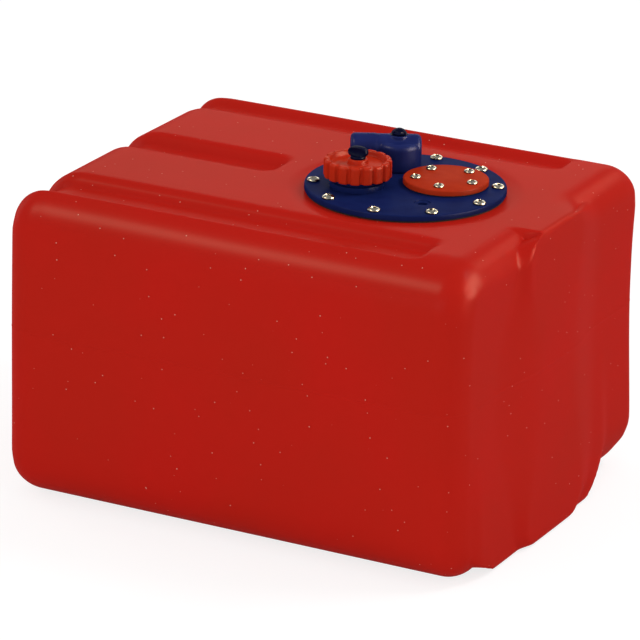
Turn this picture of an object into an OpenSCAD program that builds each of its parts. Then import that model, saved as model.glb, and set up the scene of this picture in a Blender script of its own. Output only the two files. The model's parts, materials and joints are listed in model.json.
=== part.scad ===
// Inboard fuel tank: a moulded tank with a bolted flange that carries the filler cap, a blank gauge
// cover and a swivelling hose elbow with a tap. Units mm, +Z up, tank standing on z = 0.
// The length runs along X, the long front face looks along -Y and the end panel looks along +X.

/* [Tank moulding] */
// Length of the moulding without its end panel
tank_length = 454; // [430:1:620]
// Width of the moulding
tank_width = 380; // [370:1:440]
// Height of the moulding
tank_height = 290; // [230:1:400]
// Radius of the outer edges
tank_round = 34; // [30:1:38]
// Wall thickness
tank_wall = 5; // [4:0.5:7]
// Width of each groove in the top
groove_width = 48; // [36:1:52]
// Depth of each groove in the top
groove_depth = 10; // [6:1:14]
// Distance between the centre lines of the grooves
groove_pitch = 139; // [134:1:144]

/* [End panel] */
// Width of the raised panel in the middle of the right end
panel_width = 138; // [120:1:144]
// How far the panel stands out from the end
panel_proud = 8; // [6:0.5:11]
// Radius of the panel's four corners
panel_corner = 25; // [18:1:30]
// Radius of the edges round the panel's face
panel_round = 5; // [4:0.5:7]

/* [Flange] */
// Diameter of the flange plate
flange_d = 179; // [176:1:192]
// Thickness of the flange plate
flange_t = 5; // [4:0.5:8]
// Diameter of the circle of flange screws
flange_circle = 163; // [161:0.5:165]
// Number of flange screws
flange_screw_count = 10; // [8:1:12]
// Thread diameter of the flange screws
flange_screw_d = 6; // [5:0.5:6]
// Thickness of the gasket under the flange
gasket_t = 1.5; // [1:0.5:3]

/* [Filler cap] */
// Diameter of the cap over its lobes
cap_d = 60.4; // [58:0.2:64]
// Height of the cap's side
cap_h = 16; // [15:0.5:20]
// Number of flutes round the cap
cap_flutes = 16; // [12:1:20]
// Outside diameter of the filler neck
neck_d = 44.6; // [42:0.2:46]
// Bore of the filler neck
neck_bore = 38; // [34:0.5:39]

/* [Gauge cover] */
// Diameter of the blank cover
cover_d = 76; // [72:0.5:77]
// Thickness of the blank cover
cover_t = 5; // [4:0.5:7]
// Diameter of the five-hole gauge pattern
cover_circle = 54; // [52:0.5:56]

/* [Hose elbow] */
// Diameter of the upright elbow body
elbow_d = 41; // [39:0.5:42]
// Outside diameter of the hose tail
tail_d = 24; // [22:0.5:25]
// Reach of the hose tail from the swivel axis
tail_reach = 43; // [41:0.5:50]
// Bore of the hose tail
tail_bore = 10; // [8:0.5:11]
// Heading of the hose tail, degrees from +X
tail_heading = 209; // [190:1:214]

/* [Hidden] */
$fn = 64;

// Gap kept between pieces that turn or slide on each other
run = 0.3;
// Gap between faces that lie on each other and move apart
rest_gap = 0.1;
// Overlap that makes a cut or a joined body clean
eps = 1;
// Length of a cut that goes right through
through = 100;

// The box round the whole moulding is centred on the origin
x_left = -(tank_length + panel_proud)/2;
x_right = x_left + tank_length;
x_face = x_right + panel_proud;

// Filler neck and cap, heights above the flange top
neck_set = [-34.85, -25.6];
collar_wall = 2.2;
collar_r = neck_d/2 + collar_wall;
collar_h = 5;
drop_wall = 2;
drop_r = neck_bore/2 + drop_wall;
drop_l = 14;
cap_low = 9;
cap_high = cap_low + cap_h;
cap_dish = 5;
cap_plate = 3;
cap_roof = cap_high - cap_dish - cap_plate;
cap_play = 0.5;
cap_in_r = neck_d/2 + cap_play;
cap_rim = 5.4;
cap_rim_r = cap_d/2 - cap_rim;
cap_edge = 2;
flute_r = 2.3;
flute_out = 0.7;
cap_boss_r = 8.7;
seal_t = 1.4;
slip_t = 0.5;
neck_h = cap_roof - slip_t - seal_t - 3*rest_gap;

// Vent thumb screw in the middle of the cap
vent_r = 4;
vent_groove_r = 3;
vent_groove_h = 1.4;
vent_air_r = 1.2;
vent_air_l = 9;
vent_tail = 5;
vent_low = cap_roof - vent_tail;
vent_clip_lift = 1;
vent_clip_z = vent_low + vent_clip_lift;
vent_clip_r = 6.2;
vent_clip_t = 0.8;
vent_clip_slot = 3;
vent_oring_r = 0.9;
vent_oring_lift = 0.2;
vent_seat = 2.2;
vent_seat_r = 6.6;
vent_head_r = 6.8;
vent_head_t = 2.4;
paddle_w = 18;
paddle_h = 10;
paddle_t = 6;
paddle_turn = 4;

// Gauge cover and its five screws, one hole set off so that a gauge fits one way round
cover_set = [30.4, 18.6];
cover_angles = [145, 210.5, 282.5, 354.5, 66.5];
cover_seal_t = 1;
cover_seal_inset = 1.5;
cover_edge = 0.8;
gauge_land = 7;
gauge_hole_r = cover_circle/2 - gauge_land;
gauge_margin = 6;
gauge_boss_r = cover_circle/2 + gauge_margin;
gauge_boss_t = 6;
cover_screw_r = 2.5;
cover_hole_r = cover_screw_r + run;
cover_head_r = 4.75;
cover_head_h = 2.9;
cover_insert_r = 3.6;
cover_insert_l = 9;
cover_screw_l = cover_seal_t + cover_t + cover_insert_l - eps;

// Blind hole in the flange between the cover and the front screws
pilot_set = [36, -39];
pilot_r = 4.3;
pilot_depth = 3;
pilot_sink_r = 7.5;
pilot_sink = 0.8;

// Hose elbow, its swivel and its tap, heights above the flange top
elbow_set = [-27.75, 40.5];
elbow_h = 25.7;
elbow_round = 5;
tail_z = 19.2;
tail_barb = 21.5;
tail_step = 0.5;
tail_tip_round = 4;
tail_back = elbow_d/2 - run;
socket_r = 17;
socket_l = 12;
spigot_r = 10;
spigot_thread = 14;
spigot_l = flange_t + socket_l + spigot_thread;
way_r = 4;
oring_drop = 4;
oring_z = -flange_t - oring_drop;
oring_r = 1.1;
oring_groove_h = 2.6;
oring_seat = 2.1;
oring_groove_r = spigot_r - oring_seat;
oring_ring_r = oring_groove_r + oring_r + rest_gap;
nut_r = 16;
nut_h = 8;
tube_r = 6;
tube_bore_r = 4.5;
strainer_r = 11;
strainer_wall = 1.8;
strainer_h = 40;
strainer_foot = 8;
strainer_base = 2;
strainer_cap = 4;
strainer_slots = 8;
slot_w = 2.4;
slot_low = 5;
slot_high = 9;
strainer_floor = tank_wall + strainer_foot;
chamber_r = 7.9;
chamber_z = 8;
crown_wall = 0.8;
crown_r = chamber_r + crown_wall;
plug_r = chamber_r - run;
plug_top = 24;
stem_r = 3.5;
stem_up = 3;
stem_ring_r = 1;
gland_low = 26.4;
gland_high = 30.6;
key_r = 7.75;
key_t = 5.2;
key_foot_r = 6.2;
key_foot_t = 1.5;
key_low = gland_high + run;
key_high = 36.2;

// The opening under the flange clears what hangs below it, and the flange covers its own screws
flange_land = 10;
opening_gap = 0.5;
neck_reach = norm(neck_set) + drop_r;
cover_reach = norm(cover_set) + gauge_boss_r;
elbow_reach = norm(elbow_set) + socket_r;
opening_r = max(flange_circle/2 - flange_land, max(neck_reach, cover_reach, elbow_reach) + opening_gap);
flange_hole_r = flange_screw_d/2 + run;
flange_head_r = flange_screw_d*0.95;
flange_head_h = 3.4;
flange_rim = 2;
flange_r = max(flange_d/2, flange_circle/2 + flange_head_r + flange_rim);
flange_edge = 1;
flange_first = -155.3;
flange_insert_wall = 1.5;
flange_insert_r = flange_screw_d/2 + flange_insert_wall;
flange_insert_l = 13;
flange_screw_end = 1.5;
flange_screw_l = flange_t + gasket_t + flange_insert_l - flange_screw_end;
gasket_inset = 1;
boss_margin = 11;
boss_r = flange_circle/2 + boss_margin;
boss_t = 15;
cross_turn = 25;

// The flange stands on a shallow round pad in the tank top
flange_back = 148.5;
flange_side = -6;
flange_pos = [x_right - flange_back, flange_side];
pad_margin = 14.5;
pad_r = flange_r + pad_margin;
pad_depth = gasket_t;
z_pad = tank_height - pad_depth;
z_top = z_pad + gasket_t + flange_t;
neck_pos = flange_pos + neck_set;
cover_pos = flange_pos + cover_set;
elbow_pos = flange_pos + elbow_set;
pilot_pos = flange_pos + pilot_set;

// Grooves end short of the right end, the middle one short of the pad
groove_stop = 56;
groove_end = x_right - groove_stop;
middle_stop = 26;
middle_end = flange_pos[0] - pad_r - middle_stop;
groove_corner = 14;
groove_run_out = 42;
groove_over = 60;

// Panel and feet of the right end stand a little towards the front
end_side = -8;
end_depth = 80;
foot_gap = 6;
foot_width = 62;
foot_corner = 16;
foot_round = 4;

// Plate with rounded corners, from one corner at the origin
module slab(a, b, r, h) {
  linear_extrude(h) {
    translate([r, 0])
      square([a - 2*r, b]);
    translate([0, r])
      square([a, b - 2*r]);
    for (x = [r, a - r])
      for (y = [r, b - r])
        translate([x, y])
          circle(r);
  }
}

// Block of the tank with every edge and corner rounded, drawn in by the inset
module block(inset) {
  r = tank_round - inset;
  a = tank_length - 2*inset;
  b = tank_width - 2*inset;
  h = tank_height - 2*inset;
  translate([x_left + inset, -b/2, inset]) {
    translate([0, 0, r])
      slab(a, b, r, h - 2*r);
    translate([r, 0, 0])
      rotate([90, 0, 90])
        slab(b, h, r, a - 2*r);
    translate([0, b - r, 0])
      rotate([90, 0, 0])
        slab(a, h, r, b - 2*r);
    for (x = [r, a - r])
      for (y = [r, b - r])
        for (z = [r, h - r])
          translate([x, y, z])
            sphere(r);
  }
}

// Three grooves that run out over the left end
module grooves(grow) {
  w = groove_width + 2*grow;
  low = tank_height - tank_round - groove_run_out;
  for (k = [-1, 0, 1]) {
    far = (k == 0 ? middle_end : groove_end) + grow;
    translate([x_left - groove_over, k*groove_pitch - w/2, low])
      slab(far - x_left + groove_over, w, groove_corner, tank_height);
  }
}

// Floor under the grooves, which follows the rounding of the ends and of the long edges
module groove_floor(inset) {
  low = inset + groove_depth;
  wide = tank_width - 2*(inset + eps);
  intersection() {
    translate([x_left + low, wide/2, low])
      rotate([90, 0, 0])
        slab(tank_length - 2*low, tank_height - 2*low, tank_round - low, wide);
    translate([x_left, -wide/2, inset])
      rotate([90, 0, 90])
        slab(wide, tank_height - inset - low, tank_round - inset, tank_length);
  }
}

// Plate in the right end with rounded corners, whose top and bottom edges are broken by r
module end_plate(face, from, to, low, high, corner, r) {
  a = end_depth;
  intersection() {
    translate([face - a, from, low])
      rotate([90, 0, 90])
        slab(to - from, high - low, corner, a);
    translate([face - 2*a, to + eps, low])
      rotate([90, 0, 0])
        slab(2*a, high - low, r, to - from + 2*eps);
  }
}

// Whole outer form of the tank, drawn in by the inset
module form(inset) {
  half = panel_width/2 - inset;
  near = panel_width/2 + foot_gap + inset;
  wide = foot_width - 2*inset;
  difference() {
    block(inset);
    grooves(inset);
  }
  groove_floor(inset);
  end_plate(x_face - inset, end_side - half, end_side + half, inset, tank_height - inset,
            panel_corner - inset, panel_round - inset/2);
  for (y = [end_side - near - wide, end_side + near])
    end_plate(x_right - inset, y, y + wide, inset, tank_height/2, foot_corner - inset, foot_round - inset/2);
}

// Places its children on the circle of flange screws
module at_flange_screws() {
  for (i = [0 : flange_screw_count - 1])
    translate([flange_pos[0], flange_pos[1], 0])
      rotate([0, 0, flange_first + i*360/flange_screw_count])
        translate([flange_circle/2, 0, 0])
          children();
}

// Places its children on the five cover screws
module at_cover_screws() {
  for (a = cover_angles)
    translate([cover_pos[0], cover_pos[1], 0])
      rotate([0, 0, a])
        translate([cover_circle/2, 0, 0])
          children();
}

// Pan-head screw with a cross recess, seat at z = 0 and shank downwards
module pan_screw(head_r, head_h, shank_r, l) {
  ball = (head_r*head_r + head_h*head_h)/(2*head_h) + head_h/2;
  arm_w = head_r*0.22;
  recess = head_h/2;
  difference() {
    union() {
      intersection() {
        cylinder(h = head_h, r = head_r);
        translate([0, 0, head_h - ball])
          sphere(ball);
      }
      translate([0, 0, -l])
        cylinder(h = l + head_h/4, r = shank_r);
    }
    for (a = [0, 90])
      rotate([0, 0, a])
        translate([-head_r/2, -arm_w/2, head_h - recess])
          cube([head_r, arm_w, head_h]);
  }
}

// Rubber ring of round section
module ring(r_ring, r_section) {
  rotate_extrude()
    translate([r_ring, 0])
      circle(r_section, $fn = 32);
}

// Flat disc whose upper edge is broken
module disc(r, t, edge) {
  rotate_extrude()
    polygon([[0, 0], [r, 0], [r, t - edge], [r - edge, t], [0, t]]);
}

// Flat ring
module washer(r_out, r_in, t) {
  difference() {
    cylinder(h = t, r = r_out);
    translate([0, 0, -eps])
      cylinder(h = t + 2*eps, r = r_in);
  }
}

// Moulded hollow tank with the flange opening and its thick rim
module tank_shell() {
  color([0.72, 0.09, 0.07])
    difference() {
      form(0);
      difference() {
        form(tank_wall);
        translate([flange_pos[0], flange_pos[1], z_pad - boss_t])
          cylinder(h = through, r = boss_r);
      }
      translate([flange_pos[0], flange_pos[1], z_pad])
        cylinder(h = through, r = pad_r);
      translate([flange_pos[0], flange_pos[1], z_pad - boss_t - eps])
        cylinder(h = through, r = opening_r);
      at_flange_screws()
        translate([0, 0, z_pad - flange_insert_l])
          cylinder(h = flange_insert_l + eps, r = flange_insert_r);
    }
}

// Threaded brass inserts moulded into the rim of the opening
module flange_inserts() {
  color([0.76, 0.6, 0.28])
    at_flange_screws()
      translate([0, 0, z_pad - flange_insert_l])
        washer(flange_insert_r, flange_screw_d/2, flange_insert_l);
}

// Rubber gasket between the tank and the flange
module flange_gasket() {
  color([0.06, 0.06, 0.06])
    difference() {
      translate([flange_pos[0], flange_pos[1], z_pad])
        washer(flange_r - gasket_inset, opening_r, gasket_t);
      at_flange_screws()
        translate([0, 0, z_pad - eps])
          cylinder(h = gasket_t + 2*eps, r = flange_hole_r);
    }
}

// Flange plate with the filler neck, the gauge hole and the elbow socket
module flange_plate() {
  color([0.1, 0.12, 0.36])
    difference() {
      union() {
        translate([flange_pos[0], flange_pos[1], z_top - flange_t])
          disc(flange_r, flange_t, flange_edge);
        translate([neck_pos[0], neck_pos[1], z_top - flange_t - drop_l])
          cylinder(h = drop_l + eps, r = drop_r);
        translate([neck_pos[0], neck_pos[1], z_top - eps])
          cylinder(h = neck_h + eps, r = neck_d/2);
        translate([neck_pos[0], neck_pos[1], z_top - eps])
          cylinder(h = collar_h + eps, r = collar_r);
        translate([cover_pos[0], cover_pos[1], z_top - flange_t - gauge_boss_t])
          cylinder(h = gauge_boss_t + eps, r = gauge_boss_r);
        translate([elbow_pos[0], elbow_pos[1], z_top - flange_t - socket_l])
          cylinder(h = socket_l + eps, r = socket_r);
      }
      translate([neck_pos[0], neck_pos[1], z_top - through/2])
        cylinder(h = through, r = neck_bore/2);
      translate([cover_pos[0], cover_pos[1], z_top - through/2])
        cylinder(h = through, r = gauge_hole_r);
      translate([elbow_pos[0], elbow_pos[1], z_top - through/2])
        cylinder(h = through, r = spigot_r + run);
      at_flange_screws()
        translate([0, 0, z_top - flange_t - eps])
          cylinder(h = flange_t + 2*eps, r = flange_hole_r);
      at_cover_screws()
        translate([0, 0, z_top - cover_insert_l])
          cylinder(h = cover_insert_l + eps, r = cover_insert_r);
      translate([pilot_pos[0], pilot_pos[1], z_top - pilot_depth])
        cylinder(h = pilot_depth + eps, r = pilot_r);
      translate([pilot_pos[0], pilot_pos[1], z_top - pilot_sink])
        cylinder(h = pilot_sink + eps, r = pilot_sink_r);
    }
}

// Stainless screws of the flange
module flange_screws() {
  color([0.82, 0.81, 0.76])
    at_flange_screws()
      translate([0, 0, z_top])
        rotate([0, 0, cross_turn])
          pan_screw(flange_head_r, flange_head_h, flange_screw_d/2, flange_screw_l);
}

// Blank cover over the gauge hole
module gauge_cover() {
  color([0.76, 0.2, 0.1])
    difference() {
      translate([cover_pos[0], cover_pos[1], z_top + cover_seal_t])
        disc(cover_d/2, cover_t, cover_edge);
      at_cover_screws()
        translate([0, 0, z_top])
          cylinder(h = through, r = cover_hole_r);
    }
}

// Rubber gasket under the blank cover
module cover_gasket() {
  color([0.06, 0.06, 0.06])
    difference() {
      translate([cover_pos[0], cover_pos[1], z_top])
        washer(cover_d/2 - cover_seal_inset, gauge_hole_r + gasket_inset, cover_seal_t);
      at_cover_screws()
        translate([0, 0, z_top - eps])
          cylinder(h = cover_seal_t + 2*eps, r = cover_hole_r);
    }
}

// Threaded brass inserts for the cover screws
module cover_inserts() {
  color([0.76, 0.6, 0.28])
    at_cover_screws()
      translate([0, 0, z_top - cover_insert_l])
        washer(cover_insert_r, cover_screw_r, cover_insert_l);
}

// Stainless screws of the blank cover
module cover_screws() {
  color([0.82, 0.81, 0.76])
    at_cover_screws()
      translate([0, 0, z_top + cover_seal_t + cover_t])
        rotate([0, 0, cross_turn])
          pan_screw(cover_head_r, cover_head_h, cover_screw_r, cover_screw_l);
}

// Screw cap of the filler, fluted round the side and dished on top
module filler_cap() {
  color([0.8, 0.17, 0.08])
    translate([neck_pos[0], neck_pos[1], z_top])
      difference() {
        union() {
          difference() {
            translate([0, 0, cap_low])
              rotate_extrude() {
                square([cap_d/2, cap_h - cap_edge]);
                square([cap_d/2 - cap_edge, cap_h]);
                translate([cap_d/2 - cap_edge, cap_h - cap_edge])
                  circle(cap_edge, $fn = 32);
              }
            translate([0, 0, cap_high - cap_dish])
              cylinder(h = cap_dish + eps, r = cap_rim_r);
          }
          translate([0, 0, cap_high - cap_dish - eps])
            cylinder(h = cap_dish + eps, r = cap_boss_r);
        }
        translate([0, 0, cap_low - eps])
          cylinder(h = cap_roof - cap_low + eps, r = cap_in_r);
        for (i = [0 : cap_flutes - 1])
          rotate([0, 0, (i + 0.5)*360/cap_flutes])
            translate([cap_d/2 + flute_out, 0, cap_low - eps])
              cylinder(h = cap_h + 2*eps, r = flute_r, $fn = 24);
        cylinder(h = through, r = vent_r + run);
        translate([0, 0, cap_high - vent_seat])
          cylinder(h = vent_seat + eps, r = vent_seat_r);
      }
}

// Flat rubber seal that lies on the neck
module cap_seal() {
  color([0.06, 0.06, 0.06])
    translate([neck_pos[0], neck_pos[1], z_top + neck_h + rest_gap])
      washer(neck_d/2 + rest_gap, neck_bore/2 - run, seal_t);
}

// Thin slip washer that lets the cap turn on its seal
module cap_slip_washer() {
  color([0.85, 0.84, 0.8])
    translate([neck_pos[0], neck_pos[1], z_top + cap_roof - rest_gap - slip_t])
      washer(neck_d/2, neck_bore/2 + run, slip_t);
}

// Thumb screw that opens the air vent, with an oval paddle
module vent_screw() {
  color([0.05, 0.06, 0.2])
    translate([neck_pos[0], neck_pos[1], z_top])
      difference() {
        union() {
          translate([0, 0, vent_low])
            cylinder(h = cap_high + vent_head_t - vent_low, r = vent_r);
          translate([0, 0, cap_high + rest_gap])
            cylinder(h = vent_head_t, r = vent_head_r);
          rotate([0, 0, paddle_turn])
            translate([0, paddle_t/2, cap_high + eps + paddle_h/2])
              rotate([90, 0, 0])
                linear_extrude(paddle_t) {
                  square([paddle_w - paddle_h, paddle_h], center = true);
                  for (s = [-1, 1])
                    translate([s*(paddle_w - paddle_h)/2, 0])
                      circle(paddle_h/2);
                }
        }
        translate([0, 0, vent_clip_z - run])
          washer(vent_r + eps, vent_groove_r, vent_groove_h);
        translate([0, 0, vent_low - eps])
          cylinder(h = vent_air_l + eps, r = vent_air_r, $fn = 24);
      }
}

// Rubber ring under the head of the vent screw
module vent_oring() {
  color([0.06, 0.06, 0.06])
    translate([neck_pos[0], neck_pos[1], z_top + cap_high - vent_seat + vent_oring_r + vent_oring_lift])
      ring(vent_r + run + vent_oring_r, vent_oring_r);
}

// Spring clip that keeps the vent screw in the cap
module vent_clip() {
  color([0.6, 0.6, 0.62])
    translate([neck_pos[0], neck_pos[1], z_top + vent_clip_z])
      difference() {
        washer(vent_clip_r, vent_groove_r + run, vent_clip_t);
        translate([0, -vent_clip_slot/2, -eps])
          cube([2*vent_clip_r, vent_clip_slot, vent_clip_t + 2*eps]);
      }
}

// Swivelling hose elbow: upright body, level hose tail and spigot through the flange
module hose_elbow() {
  color([0.12, 0.14, 0.42])
    translate([elbow_pos[0], elbow_pos[1], z_top])
      rotate([0, 0, tail_heading])
        difference() {
          union() {
            translate([0, 0, run])
              rotate_extrude() {
                square([elbow_d/2, elbow_h - elbow_round - run]);
                square([elbow_d/2 - elbow_round, elbow_h - run]);
                translate([elbow_d/2 - elbow_round, elbow_h - elbow_round - run])
                  intersection() {
                    circle(elbow_round);
                    square(elbow_round);
                  }
              }
            translate([-tail_back, 0, tail_z])
              rotate([0, 90, 0])
                tail_form(tail_reach + tail_back);
            translate([0, 0, tail_z])
              cylinder(h = gland_high - tail_z, r = crown_r);
            translate([0, 0, -spigot_l])
              cylinder(h = spigot_l + eps, r = spigot_r);
          }
          translate([0, 0, oring_z - oring_groove_h/2])
            washer(spigot_r + eps, oring_groove_r, oring_groove_h);
          translate([0, 0, -spigot_l - eps])
            cylinder(h = spigot_l - flange_t + eps, r = tube_r);
          translate([0, 0, -flange_t - eps])
            cylinder(h = flange_t + chamber_z + 2*eps, r = way_r);
          translate([0, 0, chamber_z])
            cylinder(h = through, r = chamber_r);
          translate([0, 0, tail_z])
            rotate([0, 90, 0])
              cylinder(h = through, r = tail_bore/2);
        }
}

// Round form of the hose tail along +Z, closed end at z = 0 and barb at the far end
module tail_form(l) {
  rt = tail_d/2;
  rn = rt - tail_step;
  rotate_extrude() {
    translate([0, elbow_round])
      square([rn, l - elbow_round - tail_barb + eps]);
    square([rn - elbow_round, elbow_round + eps]);
    translate([rn - elbow_round, elbow_round])
      intersection() {
        circle(elbow_round);
        translate([0, -elbow_round])
          square(elbow_round);
      }
    translate([0, l - tail_barb])
      square([rt, tail_barb - tail_tip_round]);
    translate([0, l - tail_tip_round - eps])
      square([rt - tail_tip_round, tail_tip_round + eps]);
    translate([rt - tail_tip_round, l - tail_tip_round])
      intersection() {
        circle(tail_tip_round);
        square(tail_tip_round);
      }
  }
}

// Rubber ring that seals the spigot in the flange socket
module elbow_oring() {
  color([0.06, 0.06, 0.06])
    translate([elbow_pos[0], elbow_pos[1], z_top + oring_z])
      ring(oring_ring_r, oring_r);
}

// Six-sided nut that holds the spigot under the flange
module elbow_nut() {
  color([0.12, 0.14, 0.42])
    translate([elbow_pos[0], elbow_pos[1], z_top - flange_t - socket_l - run - nut_h])
      difference() {
        cylinder(h = nut_h, r = nut_r, $fn = 6);
        translate([0, 0, -eps])
          cylinder(h = nut_h + 2*eps, r = spigot_r);
      }
}

// Pipe that draws fuel from near the tank floor
module dip_tube() {
  low = strainer_floor + strainer_foot;
  color([0.75, 0.75, 0.78])
    translate([elbow_pos[0], elbow_pos[1], low])
      washer(tube_r, tube_bore_r, z_top - flange_t - low);
}

// Slotted strainer on the foot of the dip tube
module foot_strainer() {
  color([0.9, 0.89, 0.84])
    translate([elbow_pos[0], elbow_pos[1], strainer_floor])
      difference() {
        cylinder(h = strainer_h, r = strainer_r);
        translate([0, 0, strainer_base])
          cylinder(h = strainer_h - strainer_base - strainer_cap, r = strainer_r - strainer_wall);
        translate([0, 0, strainer_foot])
          cylinder(h = strainer_h, r = tube_r);
        for (i = [0 : strainer_slots - 1])
          rotate([0, 0, i*360/strainer_slots])
            translate([strainer_r - 2*strainer_wall, -slot_w/2, slot_low])
              cube([3*strainer_wall, slot_w, strainer_h - slot_low - slot_high]);
      }
}

// Ring that closes the tap chamber round the stem
module tap_gland() {
  color([0.08, 0.1, 0.3])
    translate([elbow_pos[0], elbow_pos[1], z_top + gland_low])
      washer(chamber_r, stem_r + run, gland_high - gland_low);
}

// Turning plug of the tap with an angled port, on its stem
module tap_plug() {
  color([0.8, 0.66, 0.36])
    translate([elbow_pos[0], elbow_pos[1], z_top])
      rotate([0, 0, tail_heading])
        difference() {
          union() {
            translate([0, 0, chamber_z + run])
              cylinder(h = plug_top - chamber_z - run, r = plug_r);
            translate([0, 0, plug_top - eps])
              cylinder(h = gland_high + stem_up + eps - plug_top, r = stem_r);
          }
          cylinder(h = tail_z, r = way_r);
          translate([0, 0, tail_z])
            rotate([0, 90, 0])
              cylinder(h = through, r = way_r);
        }
}

// Rubber ring on the stem of the tap
module tap_oring() {
  color([0.06, 0.06, 0.06])
    translate([elbow_pos[0], elbow_pos[1], z_top + plug_top + stem_ring_r])
      ring(stem_r + stem_ring_r, stem_ring_r);
}

// Half-round thumb key pressed on the stem of the tap
module tap_key() {
  color([0.07, 0.08, 0.27])
    translate([elbow_pos[0], elbow_pos[1], z_top])
      rotate([0, 0, tail_heading])
        difference() {
          union() {
            translate([0, 0, key_low])
              cylinder(h = key_foot_t, r = key_foot_r);
            translate([0, key_t/2, 0])
              rotate([90, 0, 0])
                linear_extrude(key_t)
                  intersection() {
                    translate([0, key_high - key_r])
                      circle(key_r);
                    translate([-key_r, key_low])
                      square([2*key_r, 2*key_r]);
                  }
          }
          translate([0, 0, key_low - eps])
            cylinder(h = gland_high + stem_up - key_low + eps, r = stem_r);
        }
}

tank_shell();
flange_inserts();
flange_gasket();
flange_plate();
flange_screws();
gauge_cover();
cover_gasket();
cover_inserts();
cover_screws();
filler_cap();
cap_seal();
cap_slip_washer();
vent_screw();
vent_oring();
vent_clip();
hose_elbow();
elbow_oring();
elbow_nut();
dip_tube();
foot_strainer();
tap_gland();
tap_plug();
tap_oring();
tap_key();
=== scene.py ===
import json
import math
from itertools import product

import bpy
import bmesh
import numpy as np
from mathutils import Matrix, Vector


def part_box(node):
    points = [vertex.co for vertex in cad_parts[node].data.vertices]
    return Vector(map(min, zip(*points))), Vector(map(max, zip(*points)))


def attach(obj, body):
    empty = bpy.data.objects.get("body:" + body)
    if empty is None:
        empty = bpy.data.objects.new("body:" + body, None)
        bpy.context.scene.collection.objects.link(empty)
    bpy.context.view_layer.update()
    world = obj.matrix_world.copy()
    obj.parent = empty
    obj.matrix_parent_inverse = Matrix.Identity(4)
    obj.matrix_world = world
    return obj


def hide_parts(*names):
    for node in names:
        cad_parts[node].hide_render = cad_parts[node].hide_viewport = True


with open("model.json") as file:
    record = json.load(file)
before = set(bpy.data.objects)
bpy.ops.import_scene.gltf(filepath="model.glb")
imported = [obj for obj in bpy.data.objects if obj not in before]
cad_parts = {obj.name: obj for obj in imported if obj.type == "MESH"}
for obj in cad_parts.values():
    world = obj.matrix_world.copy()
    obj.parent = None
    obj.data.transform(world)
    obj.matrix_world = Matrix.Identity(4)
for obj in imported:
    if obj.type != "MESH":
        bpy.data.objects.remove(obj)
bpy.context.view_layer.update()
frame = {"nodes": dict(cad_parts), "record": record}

# Tank moulding: one hollow body of red polyethylene, rotationally moulded with a fine satin grain.
# Three stiffening grooves run along its top, a raised panel and two feet stand on its right end,
# and a shallow round pad with a thick rim takes the flange.
MM = 0.001
tank_low, tank_high = (np.array(corner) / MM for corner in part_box("tank_shell"))
plate_low, plate_high = (np.array(corner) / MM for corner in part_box("flange_plate"))
flange_r = (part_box("flange_plate")[1].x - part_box("flange_plate")[0].x) / 2 / MM
flange_x, flange_y = (plate_low + plate_high)[:2] / 2
panel_proud, panel_half, panel_corner, panel_round = 8.0, 69.0, 25.0, 5.0
end_x, end_y = tank_high[0] - panel_proud, -8.0
tank_top = tank_high[2]
long_round, end_round, left_round, right_round, tank_wall = 44.0, 28.0, 42.0, 50.0, 5.0
left_ease, left_fade, right_fade = 0.6, (120.0, 165.0), (-180.0, 60.0)
end_lean, lean_levels, lean_run = (3.0, -3.5, -1.0), (180.0, 200.0), 120.0
panel_far_corner, panel_levels = 40.0, (0, 40, 120, 190, 250, 290)
panel_soft_near, panel_soft_far = (8, 16, 44, 40, 9, 3.5), (10, 20, 34, 36, 34, 28)
foot_flat, foot_corner, foot_half = (97.0, 66.0), (95.0, 52.0), (150.0, 121.0)
foot_proud, foot_round, foot_soft, foot_fade = 3.0, 6.0, 9.0, (50.0, 140.0)
groove_half, groove_depth, groove_slope, groove_corner = 25.5, 10.0, 12.0, 14.0
groove_pitch, groove_end, middle_end = 139.0, 168.0, -50.0
groove_fade = (222.0, 252.0)
pad_r, pad_depth, pad_slope = flange_r + 14.5, 1.5, 8.0
seam_z, seam_h, seam_w = 159.0, 0.2, 0.8
wave_h, wave_lengths, wave_starts, wave_low = 0.2, (41.0, 45.0, 37.0), (1.0, 2.0), 2.0
level, upright = 0.9, 0.01
opening_r, rim_r, rim_low = 71.5, 92.5, 273.5


def smooth(x, a, b):
    t = np.clip((x - a) / (b - a), 0, 1)
    return t * t * (3 - 2 * t)


def lattice(low, high, radius, step, arc, extra=(), least_gap=0.25):
    turn = np.tan(np.linspace(0, math.pi / 4, arc + 1))
    flat = np.linspace(low + radius, high - radius, max(2, round((high - low - 2 * radius) / step)))
    every = np.concatenate([low + radius - radius * turn, high - radius + radius * turn, flat, extra])
    every = np.unique(np.round(every, 3))
    return every[np.concatenate([[True], np.diff(every) > least_gap])]


def box_skin(xs, ys, zs):
    on = np.zeros((len(xs), len(ys), len(zs)), bool)
    on[[0, -1]] = on[:, [0, -1]] = on[:, :, [0, -1]] = True
    number = np.cumsum(on.ravel()).reshape(on.shape) - 1
    i, j, k = np.nonzero(on)
    faces = []
    for axis, side in product(range(3), (0, -1)):
        sheet = np.take(number, side, axis)
        quads = np.stack([sheet[:-1, :-1], sheet[1:, :-1], sheet[1:, 1:], sheet[:-1, 1:]], -1)
        quads = quads.reshape(-1, 4)
        faces.append(quads[:, ::-1] if (side == 0) != (axis == 1) else quads)
    return np.stack([xs[i], ys[j], zs[k]], 1), np.concatenate(faces)


def rounded(points, low, high, radius):
    core = np.clip(points, np.array(low) + radius, np.array(high) - radius)
    out = points - core
    normal = out / np.maximum(np.linalg.norm(out, axis=1), 1e-9)[:, None]
    return core + radius * normal, normal


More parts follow.
